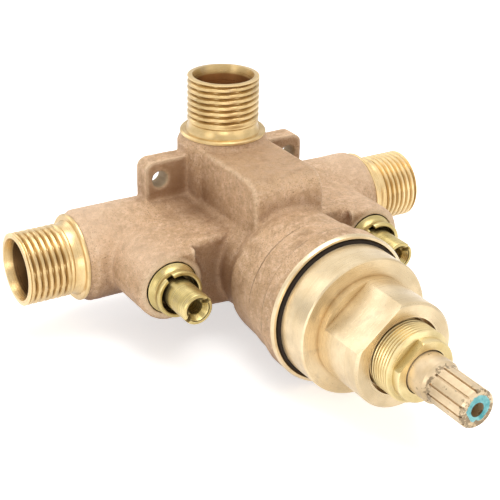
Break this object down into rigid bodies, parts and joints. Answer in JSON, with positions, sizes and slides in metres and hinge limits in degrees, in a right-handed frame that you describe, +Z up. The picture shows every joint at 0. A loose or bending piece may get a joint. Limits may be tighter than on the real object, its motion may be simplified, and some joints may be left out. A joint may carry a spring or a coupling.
{
  "type": "pressure balancing shower valve",
  "caption": "Cast bronze shower mixing valve body with threaded hot and cold arms, a top outlet, a fixing lug plate, slotted service stops and a splined spindle.",
  "frame": {"origin": "the point where the axes of the two arms, the shower outlet and the spindle meet", "axes": "+X towards the cold arm, +Y into the wall, +Z up along the shower outlet; the spindle points to -Y"},
  "size_m": [0.1336, 0.1343, 0.069],
  "materials": {
    "cast_bronze": "sand cast",
    "turned_brass": "turned",
    "stop_brass": "turned",
    "spindle_bronze": "turned",
    "black_rubber": "matte",
    "packing": "matte",
    "inner_steel": "ground"
  },
  "bodies": {
    "valve": {"valve_body": "cast_bronze", "bonnet": "turned_brass", "bonnet_o_ring": "black_rubber", "packing_nut": "turned_brass", "packing_ring": "packing", "packing_washer": "turned_brass", "hot_seat": "turned_brass", "cold_seat": "turned_brass", "hot_stop_bush": "stop_brass", "cold_stop_bush": "stop_brass", "hot_stop_o_ring": "black_rubber", "cold_stop_o_ring": "black_rubber"},
    "washer_carrier": {"hot_washer": "black_rubber", "washer_retainer": "turned_brass"},
    "spindle": {"spindle": "spindle_bronze", "balancing_sleeve": "turned_brass", "sleeve_end_plug": "turned_brass", "washer_screw": "inner_steel", "cold_washer": "black_rubber"},
    "piston": {"balancing_piston": "inner_steel"},
    "hot_stop_disc": {"hot_stop_disc": "stop_brass", "hot_stop_washer": "black_rubber"},
    "hot_stop_stem": {"hot_stop_stem": "stop_brass"},
    "cold_stop_disc": {"cold_stop_disc": "stop_brass", "cold_stop_washer": "black_rubber"},
    "cold_stop_stem": {"cold_stop_stem": "stop_brass"}
  },
  "joints": [
    {"name": "spindle_rise", "type": "slide", "parent": "valve", "child": "washer_carrier", "axis": [0, -1, 0], "range_m": [0, 0.003]},
    {"name": "spindle_turn", "type": "hinge", "parent": "washer_carrier", "child": "spindle", "pos_m": [0, 0, 0], "axis": [0, -1, 0], "range_deg": [0, 270]},
    {"name": "piston_slide", "type": "slide", "parent": "spindle", "child": "piston", "axis": [0, -1, 0], "range_m": [-0.003, 0.003]},
    {"name": "hot_stop_rise", "type": "slide", "parent": "valve", "child": "hot_stop_disc", "axis": [0, 1, 0], "range_m": [0, 0.004]},
    {"name": "hot_stop_turn", "type": "hinge", "parent": "hot_stop_disc", "child": "hot_stop_stem", "pos_m": [-0.0335, 0, 0], "axis": [0, 1, 0], "range_deg": [0, 720]},
    {"name": "cold_stop_rise", "type": "slide", "parent": "valve", "child": "cold_stop_disc", "axis": [0, 1, 0], "range_m": [0, 0.004]},
    {"name": "cold_stop_turn", "type": "hinge", "parent": "cold_stop_disc", "child": "cold_stop_stem", "pos_m": [0.0335, 0, 0], "axis": [0, 1, 0], "range_deg": [0, 720]}
  ],
  "couplings": [
    {"joint": "spindle_turn", "follows": "spindle_rise", "rad_per_m": 1570.8},
    {"joint": "hot_stop_turn", "follows": "hot_stop_rise", "rad_per_m": 3141.6},
    {"joint": "cold_stop_turn", "follows": "cold_stop_rise", "rad_per_m": 3141.6}
  ]
}
